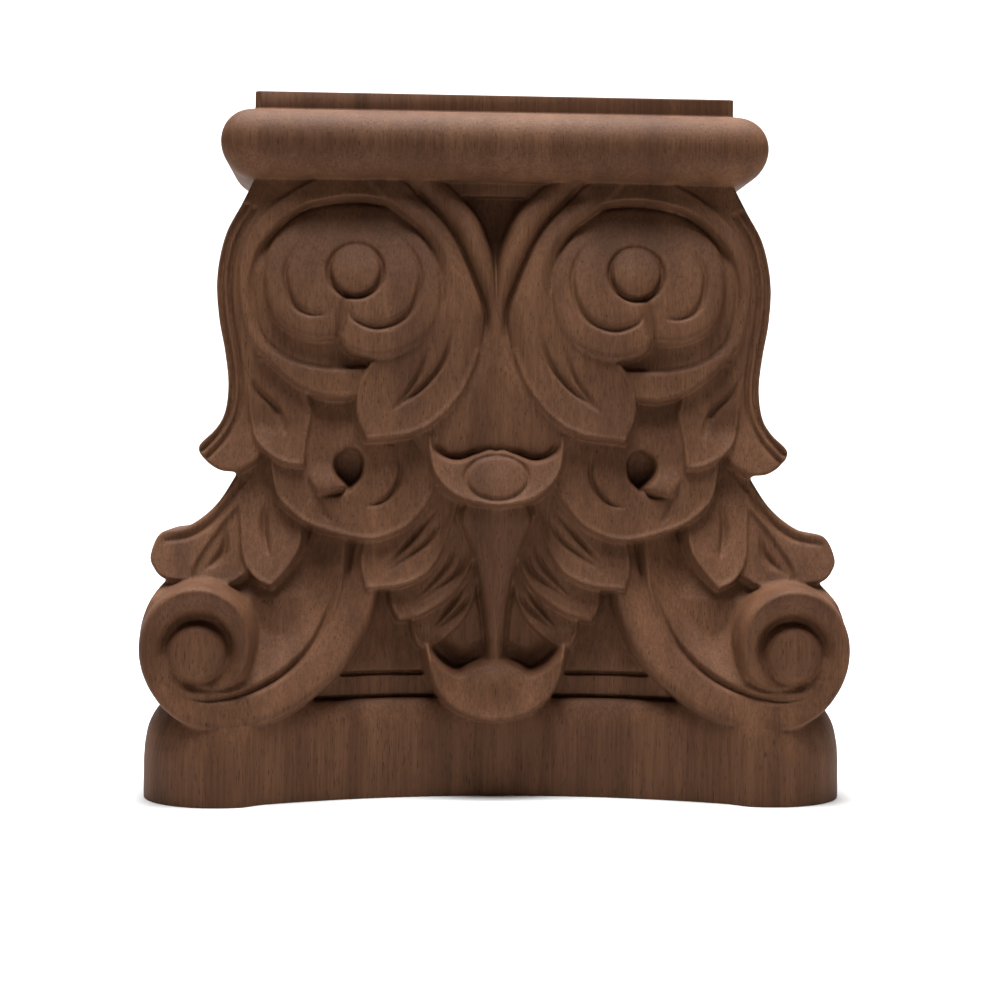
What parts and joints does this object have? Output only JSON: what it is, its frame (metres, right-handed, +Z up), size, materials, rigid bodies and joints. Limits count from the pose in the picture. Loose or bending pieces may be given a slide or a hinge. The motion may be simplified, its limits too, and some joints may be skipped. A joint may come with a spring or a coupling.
{
  "type": "carved pilaster capital",
  "caption": "Carved wooden pilaster capital with rosettes, curled leaves and corner scrolls, flat at the back, standing on its wide block.",
  "frame": {"origin": "middle of the flat underside of the wide block", "axes": "+X across the carved front, +Y towards the flat back, +Z up"},
  "size_m": [0.15, 0.054, 0.151],
  "materials": {
    "dark_hardwood": "raw, sanded, matte"
  },
  "bodies": {
    "root": {"carved_capital": "dark_hardwood"}
  },
  "joints": []
}
